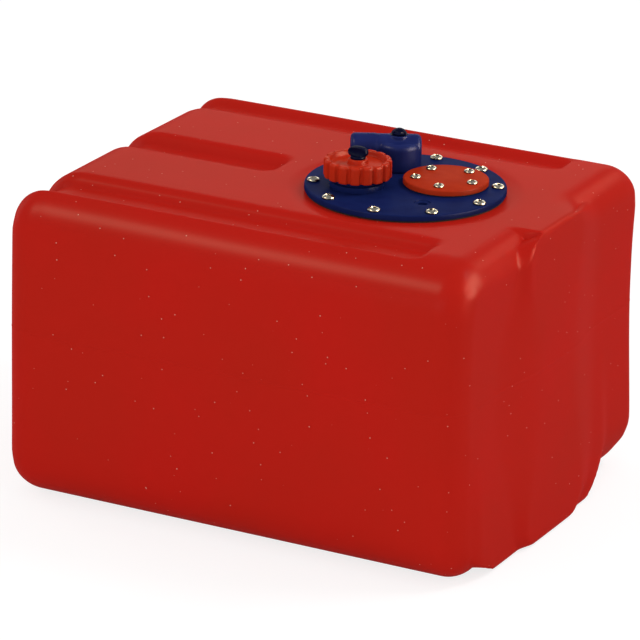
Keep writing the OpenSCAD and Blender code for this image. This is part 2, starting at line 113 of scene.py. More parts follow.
def groove_depth_at(x, y):
    depth = np.zeros_like(x)
    for k, far in ((-1, groove_end), (0, middle_end), (1, groove_end)):
        along = x - (far - groove_corner)
        across = np.abs(y - k * groove_pitch) - (groove_half - groove_corner)
        outside = np.hypot(np.maximum(along, 0), np.maximum(across, 0))
        edge = outside + np.minimum(np.maximum(along, across), 0) - groove_corner
        depth = np.maximum(depth, groove_depth * smooth(-edge, 0, groove_slope))
    return depth


def ease_edges(place, normal, low, high, axes, radius):
    """Draws the edges between two axes in from the end radius to their own larger radius."""
    aside = [axis for axis in range(3) if axis not in axes][0]
    core = np.clip(place[:, axes], low[axes] + radius, high[axes] - radius)
    out = place[:, axes] - core
    lean = np.abs(out) / np.maximum(np.linalg.norm(out, axis=1), 1e-9)[:, None]
    step = radius - end_round
    total = step * lean.sum(1)
    arc = total + np.sqrt(np.maximum(total ** 2 - 2 * step ** 2 + end_round ** 2, 0))
    flat = radius / np.maximum(lean.max(1), 1e-9)
    scale = radius / np.where(lean.min(1) * flat > step, arc, flat)
    scale = np.where(lean.max(1) > 0, scale, 1)[:, None]
    place, normal = place.copy(), normal.copy()
    place[:, axes] = core + out * scale
    normal[:, axes] = np.sign(out) * lean * np.sqrt(np.maximum(1 - normal[:, aside] ** 2, 0))[:, None]
    return place, normal


def panel_share(y, z):
    """How much of the panel stands at a height and a distance from its middle line."""
    corner = np.where((y > end_y) & (z < tank_top / 2), panel_far_corner, panel_corner)
    cut = np.clip(np.maximum(corner - z, z - (tank_top - corner)), 0, corner)
    half = panel_half - corner + np.sqrt(corner ** 2 - cut ** 2)
    near, far = (np.interp(z, panel_levels, soft) for soft in (panel_soft_near, panel_soft_far))
    soft = np.where(y < end_y, near, far)
    return 1 - smooth(np.abs(y - end_y), half - soft, half + soft)


def foot_share(y, z):
    """How much of the two feet stands beside the panel, each with a round outer corner."""
    flat, corner, most = (np.where(y < end_y, *pair) for pair in (foot_flat, foot_corner, foot_half))
    half = np.minimum(flat + np.sqrt(corner ** 2 - np.clip(corner - z, 0, corner) ** 2), most)
    return (1 - smooth(np.abs(y - end_y), half - foot_soft, half + foot_soft)) * (1 - smooth(z, *foot_fade))


def tank_form(points, inset):
    """Moves the points of a box to the moulding's surface, drawn in by the inset."""
    low, high = tank_low, np.array([end_x, tank_high[1], tank_top])
    place, normal = ease_edges(*rounded(points, low, high, end_round), low, high, [1, 2], long_round)
    upper = points[:, 2] > tank_top / 2
    left_share = 1 - left_ease * smooth(np.abs(points[:, 1]), *left_fade)
    right_share = smooth(points[:, 1], *right_fade)
    for radius, share in ((left_round, left_share * upper * (points[:, 0] < 0)),
                          (right_round, right_share * ~upper * (points[:, 0] > 0))):
        eased = ease_edges(place, normal, low, high, [0, 2], radius)
        place, normal = (old + (new - old) * share[:, None] for old, new in zip((place, normal), eased))
    spread = np.array([1, 0, 0]) * panel_proud
    push = np.clip((points[:, :1] - (end_x - end_round)) / end_round, 0, 1) * spread
    endless = 1e4
    far, behind = np.array([0, endless, 0]), np.array([endless, 0, 0])
    panel, _ = rounded(points + push, low - far - behind, high + far + spread, panel_round)
    foot, _ = rounded(points, low - far - behind, high + far + [foot_proud, 0, endless], foot_round)
    at_end = points[:, 0] > end_x - end_round
    for form, share_at in ((foot, foot_share), (panel, panel_share)):
        share = share_at(points[:, 1], points[:, 2]) * at_end
        place = place + (form - place) * share[:, None]
    foot_lean, middle_lean, top_lean = end_lean
    lean = foot_lean + (middle_lean - foot_lean) * smooth(place[:, 2], 0, lean_levels[0])
    lean += (top_lean - middle_lean) * smooth(place[:, 2], lean_levels[1], tank_top)
    place[:, 0] += lean * smooth(points[:, 0], end_x - lean_run, end_x - end_round)
    sink = groove_depth_at(place[:, 0], place[:, 1]) * smooth(place[:, 2], *groove_fade)
    reach = np.hypot(place[:, 0] - flange_x, place[:, 1] - flange_y)
    sink += pad_depth * (1 - smooth(reach, pad_r - pad_slope, pad_r)) * (normal[:, 2] > level)
    ridge = seam_h * np.exp(-((place[:, 2] - seam_z) / seam_w) ** 2) * (np.abs(normal[:, 2]) < upright)
    x_turn, y_turn, z_turn = (place / np.array(wave_lengths)).T
    wave = wave_h * np.sin(x_turn + wave_starts[0]) * np.sin(z_turn) * np.sin(y_turn + wave_starts[1])
    wave *= (reach > pad_r) * (place[:, 2] > wave_low)
    return place + normal * (ridge + wave - sink - inset)[:, None]


def mesh_object(name, points, faces, sharp=40):
    mesh = bpy.data.meshes.new(name)
    mesh.from_pydata((np.asarray(points) * MM).tolist(), [], [list(map(int, f)) for f in faces])
    mesh.validate()
    obj = bpy.data.objects.new(name, mesh)
    bpy.context.scene.collection.objects.link(obj)
    shade(obj, sharp)
    return obj


def shade(obj, sharp):
    bm = bmesh.new()
    bm.from_mesh(obj.data)
    for face in bm.faces:
        face.smooth = True
    for edge in bm.edges:
        edge.smooth = len(edge.link_faces) != 2 or edge.calc_face_angle(0) < math.radians(sharp)
    bm.to_mesh(obj.data)
    bm.free()


def carve(obj, tool, how="DIFFERENCE", sharp=40):
    step = obj.modifiers.new(how.lower(), "BOOLEAN")
    step.operation, step.object, step.solver = how, tool, "MANIFOLD"
    bpy.context.view_layer.update()
    made = bpy.data.meshes.new_from_object(obj.evaluated_get(bpy.context.evaluated_depsgraph_get()))
    obj.modifiers.clear()
    old, obj.data = obj.data, made
    made.name = obj.name
    made.materials.clear()
    bpy.data.meshes.remove(old)
    bpy.data.objects.remove(tool)
    shade(obj, sharp)


def mend(obj, fill=False):
    """Closes open ends if asked, welds doubled points and turns every face outward."""
    bm = bmesh.new()
    bm.from_mesh(obj.data)
    if fill:
        bmesh.ops.holes_fill(bm, edges=[e for e in bm.edges if e.is_boundary])
    bmesh.ops.remove_doubles(bm, verts=bm.verts, dist=1e-6)
    bmesh.ops.dissolve_degenerate(bm, edges=bm.edges, dist=1e-6)
    bmesh.ops.recalc_face_normals(bm, faces=bm.faces)
    bm.to_mesh(obj.data)
    bm.free()


def turned(name, outline, count=64, centre=(0, 0), bump=None, sharp=40):
    """Revolves an outline of (radius, height) points; a ring outline closes on itself."""
    outline = np.array(outline, float)
    ring = outline[0][0] > 0 and outline[-1][0] > 0
    angle = np.arange(count) * 2 * math.pi / count
    radius = np.repeat(outline[:, :1], count, 1)
    height = np.repeat(outline[:, 1:2], count, 1)
    if bump:
        radius, height = bump(radius, height, angle[None, :])
    across, along = centre[0] + radius * np.cos(angle), centre[1] + radius * np.sin(angle)
    points = np.stack([across, along, height], -1)
    number = np.arange(points.shape[0] * count).reshape(points.shape[0], count)
    rows = list(range(len(outline) - 1)) + ([len(outline) - 1] if ring else [])
    faces = []
    for r in rows:
        a, b = number[r], number[(r + 1) % len(outline)]
        for i in range(count):
            j = (i + 1) % count
            faces.append((a[i], a[j], b[j], b[i]))
    obj = mesh_object(name, points.reshape(-1, 3), faces, sharp)
    mend(obj)
    shade(obj, sharp)
    return obj


fine = np.array([8, 6.6, 5.2, 3.9, 2.6, 1.3])
panel_rows = np.arange(38, 78, 1.7)
panel_lines = end_y + np.array([s * v for s in (-1, 1) for v in panel_rows])
seam_lines = seam_z + np.array([-2, -1.2, -0.6, 0, 0.6, 1.2, 2])
outer_points, outer_faces = box_skin(
    lattice(tank_low[0], end_x, end_round, step=4.6, arc=11, extra=end_x - fine),
    lattice(tank_low[1], tank_high[1], end_round, step=4.2, arc=11, extra=panel_lines),
    lattice(0, tank_top, end_round, step=6, arc=11, extra=np.concatenate([fine, tank_top - fine, seam_lines])))
inner_points, inner_faces = box_skin(
    lattice(tank_low[0], end_x, end_round, step=12, arc=5),
    lattice(tank_low[1], tank_high[1], end_round, step=9, arc=5),
    lattice(0, tank_top, end_round, step=24, arc=5))
tank = mesh_object(
    "tank_moulding",
    np.concatenate([tank_form(outer_points, 0), tank_form(inner_points, tank_wall)]),
    np.concatenate([outer_faces, inner_faces[:, ::-1] + len(outer_points)]))
rim_top, rim_inner, opening_sides = tank_top - pad_depth - 2, opening_r - 4, 96
cut_low, cut_high = rim_low - 9, tank_top + 9
carve(tank, turned("opening_rim", [
    (rim_inner, rim_low), (rim_r, rim_low), (rim_r, rim_top), (rim_inner, rim_top)],
    opening_sides, (flange_x, flange_y)), "UNION")
carve(tank, turned("opening_cut", [
    (0, cut_low), (opening_r, cut_low), (opening_r, cut_high), (0, cut_high)],
    opening_sides, (flange_x, flange_y)))


def shader_group(name, inputs, outputs):
    tree = bpy.data.node_groups.new(name, "ShaderNodeTree")
    for label, kind, value in inputs:
        tree.interface.new_socket(label, in_out="INPUT", socket_type=kind).default_value = value
    for label, kind in outputs:
        tree.interface.new_socket(label, in_out="OUTPUT", socket_type=kind)
    return tree, tree.nodes.new("NodeGroupInput"), tree.nodes.new("NodeGroupOutput")


# Skin of a moulded plastic: slow colour mottle, a fine grain and uneven gloss
moulded_skin, given, result = shader_group(
    "moulded skin",
    [("Colour", "NodeSocketColor", (0.5, 0.5, 0.5, 1)), ("Mottle", "NodeSocketColor", (0.4, 0.4, 0.4, 1)),
     ("Mottle Scale", "NodeSocketFloat", 20), ("Grain Scale", "NodeSocketFloat", 900),
     ("Smoothest", "NodeSocketFloat", 0.3), ("Roughest", "NodeSocketFloat", 0.5)],
    [("Colour", "NodeSocketColor"), ("Roughness", "NodeSocketFloat"), ("Height", "NodeSocketFloat")])


def noise_at(tree, where, scale, detail):
    noise = tree.nodes.new("ShaderNodeTexNoise")
    noise.inputs["Detail"].default_value = detail
    tree.links.new(where, noise.inputs["Vector"])
    tree.links.new(scale, noise.inputs["Scale"])
    return noise


def blend_colour(tree, factor, first, second):
    mix = tree.nodes.new("ShaderNodeMix")
    mix.data_type = "RGBA"
    tree.links.new(factor, mix.inputs["Factor"])
    for socket, value in ((mix.inputs[6], first), (mix.inputs[7], second)):
        if isinstance(value, tuple):
            socket.default_value = value
        else:
            tree.links.new(value, socket)
    return mix.outputs[2]


def ramp_value(tree, value, low, high, to_low=0.0, to_high=1.0):
    ramp = tree.nodes.new("ShaderNodeMapRange")
    tree.links.new(value, ramp.inputs["Value"])
    for label, number in (("From Min", low), ("From Max", high), ("To Min", to_low), ("To Max", to_high)):
        if isinstance(number, (int, float)):
            ramp.inputs[label].default_value = number
        else:
            tree.links.new(number, ramp.inputs[label])
    return ramp.outputs["Result"]


place = moulded_skin.nodes.new("ShaderNodeTexCoord").outputs["Object"]
mottle = noise_at(moulded_skin, place, given.outputs["Mottle Scale"], 4)
grain = noise_at(moulded_skin, place, given.outputs["Grain Scale"], 3)
mottled = ramp_value(moulded_skin, mottle.outputs["Fac"], 0.35, 0.65)
moulded_skin.links.new(
    blend_colour(moulded_skin, mottled, given.outputs["Colour"], given.outputs["Mottle"]),
    result.inputs["Colour"])
moulded_skin.links.new(
    ramp_value(moulded_skin, grain.outputs["Fac"], 0.3, 0.7,
               given.outputs["Smoothest"], given.outputs["Roughest"]),
    result.inputs["Roughness"])
moulded_skin.links.new(grain.outputs["Fac"], result.inputs["Height"])


def finish(name, group, values, bump, depth, **sockets):
    material = bpy.data.materials.new(name)
    material.use_nodes = True
    tree = material.node_tree
    shader = tree.nodes["Principled BSDF"]
    skin = tree.nodes.new("ShaderNodeGroup")
    skin.node_tree = group
    for label, value in values.items():
        skin.inputs[label].default_value = value
    for label, value in sockets.items():
        shader.inputs[label.replace("_", " ")].default_value = value
    relief = tree.nodes.new("ShaderNodeBump")
    relief.inputs["Strength"].default_value = bump
    relief.inputs["Distance"].default_value = depth
    tree.links.new(skin.outputs["Height"], relief.inputs["Height"])
    tree.links.new(relief.outputs["Normal"], shader.inputs["Normal"])
    tree.links.new(skin.outputs["Colour"], shader.inputs["Base Color"])
    tree.links.new(skin.outputs["Roughness"], shader.inputs["Roughness"])
    return material


red_tank = finish(
    "red tank plastic", moulded_skin,
    {"Colour": (0.515, 0.0125, 0.0072, 1), "Mottle": (0.485, 0.0140, 0.0070, 1), "Mottle Scale": 9,
     "Grain Scale": 620, "Smoothest": 0.32, "Roughest": 0.44}, 0.12, 0.0008, Specular_IOR_Level=0,
    Coat_Weight=0.06, Coat_Roughness=0.3)
tree = red_tank.node_tree
place = tree.nodes.new("ShaderNodeTexCoord").outputs["Object"]
cells = tree.nodes.new("ShaderNodeTexVoronoi")
speck_scale, speck_edge, speck_core, speck_colour = 95, 0.062, 0.03, (0.66, 0.36, 0.28, 1)
cells.inputs["Scale"].default_value = speck_scale
tree.links.new(place, cells.inputs["Vector"])
speck = ramp_value(tree, cells.outputs["Distance"], speck_edge, speck_core)
shader = tree.nodes["Principled BSDF"]
plain = shader.inputs["Base Color"].links[0].from_socket
tree.links.new(blend_colour(tree, speck, plain, speck_colour), shader.inputs["Base Color"])

tank.data.materials.append(red_tank)
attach(tank, "tank")
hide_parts("tank_shell")

# Flange: dark blue plastic plate moulded in one with the filler neck, its collar and its thread.
# It closes the opening of the tank on a rubber gasket and carries every fitting.
# A shallow countersunk blind hole stands between the cover and the front screws.
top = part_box("cover_gasket")[0].z / MM
joints = {joint["name"]: joint for joint in frame["record"]["behaviour"]["joints"]}
neck = tuple(v / MM for v in joints["cap_turn"]["pos_m"][:2])
swivel = tuple(v / MM for v in joints["elbow_swivel"]["pos_m"][:2])
flange_t = 5.0
flange = turned("flange_moulding", [
    (0, top - flange_t), (flange_r - 0.4, top - flange_t), (flange_r, top - flange_t + 0.4),
    (flange_r, top - 1.4), (flange_r - 0.25, top - 0.6), (flange_r - 0.7, top - 0.15),
    (flange_r - 1.5, top), (0, top)], 128, (flange_x, flange_y))
neck_bore, neck_low_r, neck_root, collar_r = 19.0, 21.0, 21.2, 24.5
neck_high = top + 14.7
thread_low, thread_high, thread_full = top + 5.6, top + 13.2, (top + 6.4, top + 12.4)
thread_rows = np.arange(thread_low, thread_high, 0.3)
thread_pitch, thread_depth, thread_flank = 3.0, 1.05, (0.36, 0.18)


def thread(radius, height, angle):
    phase = (height - top) / thread_pitch - angle / (2 * math.pi)
    crest = smooth(np.abs((phase % 1) - 0.5), *thread_flank)
    on = (np.abs(radius - neck_root) < 0.01) * smooth(height, thread_low, thread_full[0])
    on = on * smooth(height, thread_high, thread_full[1])
    return radius + thread_depth * crest * on, height


neck_outline = [
    (neck_bore, top - 19), (neck_low_r, top - 19), (neck_low_r, top - 1), (collar_r, top - 1), (collar_r, top + 4),
    (collar_r - 0.3, top + 4.7), (collar_r - 1, top + 5), (21.6, top + 5), (neck_root, top + 5.4)]
neck_outline += [(neck_root, z) for z in thread_rows]
neck_outline += [
    (neck_root, neck_high - 1), (20.6, neck_high), (neck_bore + 0.6, neck_high), (neck_bore, neck_high - 0.6)]
under = [("gauge_boss", (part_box("gauge_cover")[0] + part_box("gauge_cover")[1]).xy / 2 / MM, 33, 11, 20),
         ("elbow_socket", swivel, 17, 17, 10.4)]
carve(flange, turned("neck_bore", [
    (0, top - 30), (neck_bore, top - 30), (neck_bore, top + 30), (0, top + 30)], 72, neck))
carve(flange, turned("neck", neck_outline, 96, neck, thread), "UNION")
for label, centre, radius, drop, hole in under:
    carve(flange, turned(label, [
        (0, top - drop), (radius, top - drop), (radius, top - 2), (0, top - 2)], 64, centre), "UNION")
    carve(flange, turned("hole", [
        (0, top - 30), (hole, top - 30), (hole, top + 5), (0, top + 5)], 64, centre))
pilot = (flange_x + 36, flange_y - 39)
carve(flange, turned("pilot_hole", [
    (0, top - 3), (4.3, top - 3), (4.3, top - 1.3), (5, top - 1), (7.1, top - 0.8),
    (7.6, top + 1), (0, top + 1)], 48, pilot))
blue_plastic = finish(
    "blue plastic", moulded_skin,
    {"Colour": (0.0070, 0.013, 0.078, 1), "Mottle": (0.0085, 0.017, 0.094, 1), "Mottle Scale": 60,
     "Grain Scale": 1300, "Smoothest": 0.3, "Roughest": 0.46}, 0.1, 0.0004, Specular_IOR_Level=0,
    Coat_Weight=0.025, Coat_Roughness=0.3)
flange.data.materials.append(blue_plastic)
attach(flange, "tank")
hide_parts("flange_plate")

# Flange screws: ten stainless pan-head screws with a cross recess, driven into brass inserts.
# They stand at equal angles round the plate, each turned to where it came tight.
screw_tree = bpy.data.node_groups.new("screws at points", "GeometryNodeTree")
for label, kind in (
        ("Points", "NodeSocketGeometry"), ("Screw", "NodeSocketObject"), ("Size", "NodeSocketFloat"),
        ("Seed", "NodeSocketInt"), ("Metal", "NodeSocketMaterial")):
    screw_tree.interface.new_socket(label, in_out="INPUT", socket_type=kind)
screw_tree.interface.new_socket("Screws", in_out="OUTPUT", socket_type="NodeSocketGeometry")
given = screw_tree.nodes.new("NodeGroupInput")
result = screw_tree.nodes.new("NodeGroupOutput")
one = screw_tree.nodes.new("GeometryNodeObjectInfo")
turn = screw_tree.nodes.new("FunctionNodeRandomValue")
turn.data_type = "FLOAT_VECTOR"
turn.inputs["Min"].default_value = (0, 0, 0)
turn.inputs["Max"].default_value = (0, 0, math.pi / 2)
spread = screw_tree.nodes.new("GeometryNodeInstanceOnPoints")
real = screw_tree.nodes.new("GeometryNodeRealizeInstances")
coat = screw_tree.nodes.new("GeometryNodeSetMaterial")
for source, target in (
        (given.outputs["Points"], spread.inputs["Points"]), (given.outputs["Screw"], one.inputs["Object"]),
        (one.outputs["Geometry"], spread.inputs["Instance"]), (given.outputs["Size"], spread.inputs["Scale"]),
        (given.outputs["Seed"], turn.inputs["Seed"]), (turn.outputs["Value"], spread.inputs["Rotation"]),
        (spread.outputs["Instances"], real.inputs["Geometry"]), (real.outputs["Geometry"], coat.inputs["Geometry"]),
        (given.outputs["Metal"], coat.inputs["Material"]), (coat.outputs["Geometry"], result.inputs["Screws"])):
    screw_tree.links.new(source, target)


def pan_screw(head_r, head_h, shank_r, length):
    """One screw with its head's underside at z = 0 and a tapering cross recess."""
    recess = ((head_h * 0.2, 0.26, 0.14), (head_h + 1, 0.66, 0.26))
    box_faces = [(3, 2, 1, 0), (4, 5, 6, 7), (0, 1, 5, 4), (1, 2, 6, 5), (2, 3, 7, 6), (3, 0, 4, 7)]
    shank = [(0, -length), (shank_r, -length), (shank_r, -0.05), (head_r * 0.97, -0.05), (head_r, 0.25)]
    dome = [(head_r * math.cos(t), head_h * (0.3 + 0.7 * math.sin(t)))
            for t in np.linspace(0, math.pi / 2, 9)[:-1]]
    screw = turned("screw", shank + dome + [(0, head_h)], 32, sharp=45)
    for quarter in (0, 1):
        arm = []
        for z, long, wide in recess:
            for sx, sy in ((-1, -1), (1, -1), (1, 1), (-1, 1)):
                x, y = sx * long * head_r, sy * wide * head_r
                arm.append((x, y, z) if quarter == 0 else (-y, x, z))
        carve(screw, mesh_object("cross", arm, box_faces), sharp=45)
    return screw


def place_screws(name, screw, spots, seed, metal):
    points = bpy.data.meshes.new(name)
    points.from_pydata([[v * MM for v in spot] for spot in spots], [], [])
    obj = bpy.data.objects.new(name, points)
    bpy.context.scene.collection.objects.link(obj)
    step = obj.modifiers.new("screws", "NODES")
    step.node_group = screw_tree
    keys = {item.name: item.identifier for item in screw_tree.interface.items_tree if item.in_out == "INPUT"}
    for label, value in (("Screw", screw), ("Size", 1.0), ("Seed", seed), ("Metal", metal)):
        step[keys[label]] = value
    bpy.context.view_layer.update()
    made = bpy.data.meshes.new_from_object(obj.evaluated_get(bpy.context.evaluated_depsgraph_get()))
    obj.modifiers.clear()
    obj.data = made
    made.name = name
    bpy.data.objects.remove(screw)
    return obj


# Turned or drawn metal: fine streaks in its gloss and a slight change of colour
drawn_metal, given, result = shader_group(
    "drawn metal",
    [("Colour", "NodeSocketColor", (0.8, 0.8, 0.8, 1)), ("Stain", "NodeSocketColor", (0.6, 0.6, 0.6, 1)),
     ("Streak Scale", "NodeSocketFloat", 900),
     ("Smoothest", "NodeSocketFloat", 0.12), ("Roughest", "NodeSocketFloat", 0.3)],
    [("Colour", "NodeSocketColor"), ("Roughness", "NodeSocketFloat"), ("Height", "NodeSocketFloat")])
stretch = drawn_metal.nodes.new("ShaderNodeMapping")
stretch.inputs["Scale"].default_value = (1, 1, 0.2)
drawn_metal.links.new(drawn_metal.nodes.new("ShaderNodeTexCoord").outputs["Object"], stretch.inputs["Vector"])
streak = noise_at(drawn_metal, stretch.outputs["Vector"], given.outputs["Streak Scale"], 3)
drawn_metal.links.new(
    blend_colour(drawn_metal, ramp_value(drawn_metal, streak.outputs["Fac"], 0.4, 0.7),
                 given.outputs["Colour"], given.outputs["Stain"]), result.inputs["Colour"])
drawn_metal.links.new(
    ramp_value(drawn_metal, streak.outputs["Fac"], 0.3, 0.7,
               given.outputs["Smoothest"], given.outputs["Roughest"]),
    result.inputs["Roughness"])
drawn_metal.links.new(streak.outputs["Fac"], result.inputs["Height"])
stainless = finish("stainless steel", drawn_metal,
                   {"Colour": (0.2, 0.19, 0.16, 1), "Stain": (0.13, 0.12, 0.1, 1), "Streak Scale": 500,
                    "Smoothest": 0.1, "Roughest": 0.24}, 0.05, 0.0001, Metallic=1.0)
flange_circle, first_angle, screw_step, screw_count = 81.5, -155.3, 36, 10
spots = [(flange_x + flange_circle * math.cos(math.radians(first_angle + screw_step * i)),
          flange_y + flange_circle * math.sin(math.radians(first_angle + screw_step * i)), top)
         for i in range(screw_count)]
flange_screw = pan_screw(head_r=5.7, head_h=3.4, shank_r=2.95, length=18)
flange_screws = place_screws("flange_screw_set", flange_screw, spots, 3, stainless)
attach(flange_screws, "tank")
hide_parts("flange_screws")

# Gauge cover: flat orange-red plastic disc with a broken edge, over the hole for a fuel gauge.
# Five smaller screws on the gauge's own uneven pattern press it on a thin rubber gasket.
cover_low, cover_high = (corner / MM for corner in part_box("gauge_cover"))
cover_x, cover_y = (cover_low.x + cover_high.x) / 2, (cover_low.y + cover_high.y) / 2
cover_r = (cover_high.x - cover_low.x) / 2
cover_top = cover_high.z
cover = turned("cover_disc", [
    (0, cover_low.z), (cover_r - 0.3, cover_low.z), (cover_r, cover_low.z + 0.3), (cover_r, cover_top - 1.3),
    (cover_r - 0.2, cover_top - 0.6), (cover_r - 0.6, cover_top - 0.2), (cover_r - 1.2, cover_top), (0, cover_top)],
    96, (cover_x, cover_y))
cover_angles = (145, 210.5, 282.5, 354.5, 66.5)
gauge_r, screw_hole_r, hole_low = 27, 2.7, cover_low.z - 1
spots = [(cover_x + gauge_r * math.cos(math.radians(a)), cover_y + gauge_r * math.sin(math.radians(a)), cover_top)
         for a in cover_angles]
for x, y, z in spots:
    carve(cover, turned("screw_hole", [
        (0, hole_low), (screw_hole_r, hole_low), (screw_hole_r, z + 1), (0, z + 1)], 24, (x, y)))
red_cover = finish(
    "red cover plastic", moulded_skin,
    {"Colour": (0.47, 0.034, 0.009, 1), "Mottle": (0.43, 0.028, 0.008, 1), "Mottle Scale": 70,
     "Grain Scale": 1100, "Smoothest": 0.34, "Roughest": 0.5}, 0.12, 0.0005, Specular_IOR_Level=0,
    Coat_Weight=0.03, Coat_Roughness=0.34)
cover.data.materials.append(red_cover)
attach(cover, "tank")
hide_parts("gauge_cover")
cover_screw = pan_screw(head_r=4.75, head_h=2.9, shank_r=2.45, length=13)
cover_screws = place_screws("cover_screw_set", cover_screw, spots, 8, stainless)
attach(cover_screws, "tank")
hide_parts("cover_screws")

# Filler cap: orange-red moulded screw cap with sixteen broad lobes parted by narrow flutes.
# Its top is dished round a boss that holds the vent screw, and its skirt stops above the collar.
cap_low, cap_high = (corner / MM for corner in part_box("filler_cap"))
cap_r, cap_z, cap_top = (cap_high.x - cap_low.x) / 2, cap_low.z, cap_high.z
lobes, flute_half, flute_depth = 16, 2.2, 2.7
lobe_fall, lobe_ease, lobe_fade = 0.35, (4.6, 2.2), (4.2, 1.6)
skirt_r, roof_low, floor_low, rim_round = 22.8, cap_top - 8, cap_top - 5, 2.2


def lobed(radius, height, angle):
    pitch = 2 * math.pi / lobes
    off = (np.abs(((angle / pitch) % 1) - 0.5)) * pitch * cap_r
    cut = flute_depth * np.sqrt(np.clip(1 - (off / flute_half) ** 2, 0, 1)) + lobe_fall * smooth(off, *lobe_ease)
    return radius - cut * smooth(radius, cap_r - lobe_fade[0], cap_r - lobe_fade[1]), height


rim = [(cap_r - rim_round + rim_round * math.cos(t), cap_top - rim_round + rim_round * math.sin(t))
       for t in np.linspace(0, math.pi / 2, 7)]
cap_outline = [
    (4.3, roof_low), (skirt_r, roof_low), (skirt_r, cap_z + 0.5), (23.3, cap_z), (cap_r - 0.8, cap_z),
    (cap_r - 0.2, cap_z + 0.3), (cap_r, cap_z + 0.9)]
cap_outline += [(cap_r, z) for z in np.linspace(cap_z + 2, cap_top - 3, 7)] + rim
cap_outline += [
    (cap_r - 4, cap_top), (cap_r - 4.8, cap_top - 0.3), (cap_r - 5.4, cap_top - 1.2), (cap_r - 5.8, cap_top - 4),
    (cap_r - 6.4, cap_top - 4.8), (cap_r - 7.4, floor_low), (10.2, floor_low), (9.2, cap_top - 4.7),
    (8.8, cap_top - 4), (8.7, cap_top - 0.8), (8.4, cap_top - 0.2), (7.8, cap_top), (6.6, cap_top),
    (6.6, cap_top - 2.2), (4.3, cap_top - 2.2)]
cap = turned("cap_lobed", cap_outline, 320, neck, lobed, sharp=50)
red_cap = finish(
    "red cap plastic", moulded_skin,
    {"Colour": (0.54, 0.029, 0.009, 1), "Mottle": (0.5, 0.025, 0.008, 1), "Mottle Scale": 80,
     "Grain Scale": 1500, "Smoothest": 0.28, "Roughest": 0.42}, 0.08, 0.0004, Specular_IOR_Level=0,
    Coat_Weight=0.08, Coat_Roughness=0.28)
cap.data.materials.append(red_cap)
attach(cap, "cap")
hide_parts("filler_cap")

# Vent screw: dark blue thumb screw in the middle of the cap, with a collar and an upright oval paddle.
# A clip under the roof keeps it in the cap, and a rubber ring seals it.
vent_low, vent_high = (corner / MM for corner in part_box("vent_screw"))
vent = turned("vent_thumb_screw", [
    (1.2, vent_low.z), (3.6, vent_low.z), (4, vent_low.z + 0.4), (4, vent_low.z + 0.7), (3, vent_low.z + 0.7),
    (3, vent_low.z + 2.1), (4, vent_low.z + 2.1), (4, cap_top + 0.1), (6.4, cap_top + 0.1), (6.8, cap_top + 0.5),
    (6.8, cap_top + 1.9), (6.4, cap_top + 2.4), (3, cap_top + 2.6), (1.2, cap_top - 4)], 48, neck)
paddle_z = (vent_high.z + cap_top + 1) / 2
paddle_w, paddle_h, paddle_t, paddle_turn, paddle_power = 9.0, 5.0, 3.0, 4, 0.85


def paddle_layer(depth, inset, count=48):
    ring = []
    for i in range(count):
        t = 2 * math.pi * i / count
        x = (paddle_w - inset) * math.copysign(abs(math.cos(t)) ** paddle_power, math.cos(t))
        z = (paddle_h - inset) * math.copysign(abs(math.sin(t)) ** paddle_power, math.sin(t))
        ring.append((x, depth, paddle_z + z))
    return ring


def band_faces(rows, count):
    """Faces between neighbouring closed rings of points, ring after ring."""
    return [tuple(r * count + (i + s) % count + n * count for s, n in ((0, 0), (0, 1), (1, 1), (1, 0)))
            for r in range(rows - 1) for i in range(count)]


layers = [paddle_layer(d * paddle_t, i) for d, i in (
    (-0.72, 5.0), (-0.72, 1.5), (-0.78, 1.25), (-1, 1.05), (-1, 0.7), (-0.88, 0.25), (-0.6, 0), (0.6, 0),
    (0.88, 0.25), (1, 0.7), (1, 1.05), (0.78, 1.25), (0.72, 1.5), (0.72, 5.0))]
cos_t, sin_t = math.cos(math.radians(paddle_turn)), math.sin(math.radians(paddle_turn))
points = [(neck[0] + x * cos_t - y * sin_t, neck[1] + x * sin_t + y * cos_t, z)
          for ring in layers for x, y, z in ring]
paddle = mesh_object("paddle", points, band_faces(len(layers), len(layers[0])), 50)
mend(paddle, fill=True)
carve(vent, paddle, "UNION", 50)
navy_plastic = finish(
    "navy plastic", moulded_skin,
    {"Colour": (0.003, 0.0045, 0.024, 1), "Mottle": (0.0045, 0.0065, 0.032, 1), "Mottle Scale": 150,
     "Grain Scale": 1500, "Smoothest": 0.28, "Roughest": 0.42}, 0.08, 0.0004, Specular_IOR_Level=0,
    Coat_Weight=0.07, Coat_Roughness=0.26)
vent.data.materials.append(navy_plastic)
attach(vent, "vent_screw")
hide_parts("vent_screw")

# Hose elbow: moulded blue outlet that swivels in the flange, an upright body crossed by a level barrel.
# The barrel ends in a hose tail with a low barb, and soft fillets run where the two rounds meet.
heading = math.radians(209)
body_r, body_top, body_round = 20.5, 25.7, 5
barrel_z, barrel_r, barrel_end = 19.2, 11.5, 0.3 - body_r
tail_r, tail_end, tail_round = 12.0, 43.0, 4
crown_r, crown_top, voxel = 8.7, 30.6, 0.55


def corner(x, y, r, a, b, count=6):
    return [(x + r * math.cos(math.radians(t)), y + r * math.sin(math.radians(t)))
            for t in np.linspace(a, b, count)]


elbow = turned("elbow_moulding", [(0, 0.3), (body_r - 0.6, 0.3), (body_r, 0.9)]
               + corner(body_r - body_round, body_top - body_round, body_round, 0, 90) + [(0, body_top)], 96)
barrel = [(0, barrel_end)] + corner(barrel_r - body_round, -body_r + 5.3, body_round, -90, 0)
barrel += [(barrel_r, tail_end - 24), (tail_r, tail_end - 21.5)]
barrel += corner(tail_r - tail_round, tail_end - tail_round, tail_round, 0, 90) + [(0, tail_end)]


def lie_along(obj, height):
    obj.data.transform(Matrix.Translation((0, 0, height * MM)) @ Matrix.Rotation(math.pi / 2, 4, "Y"))
    return obj


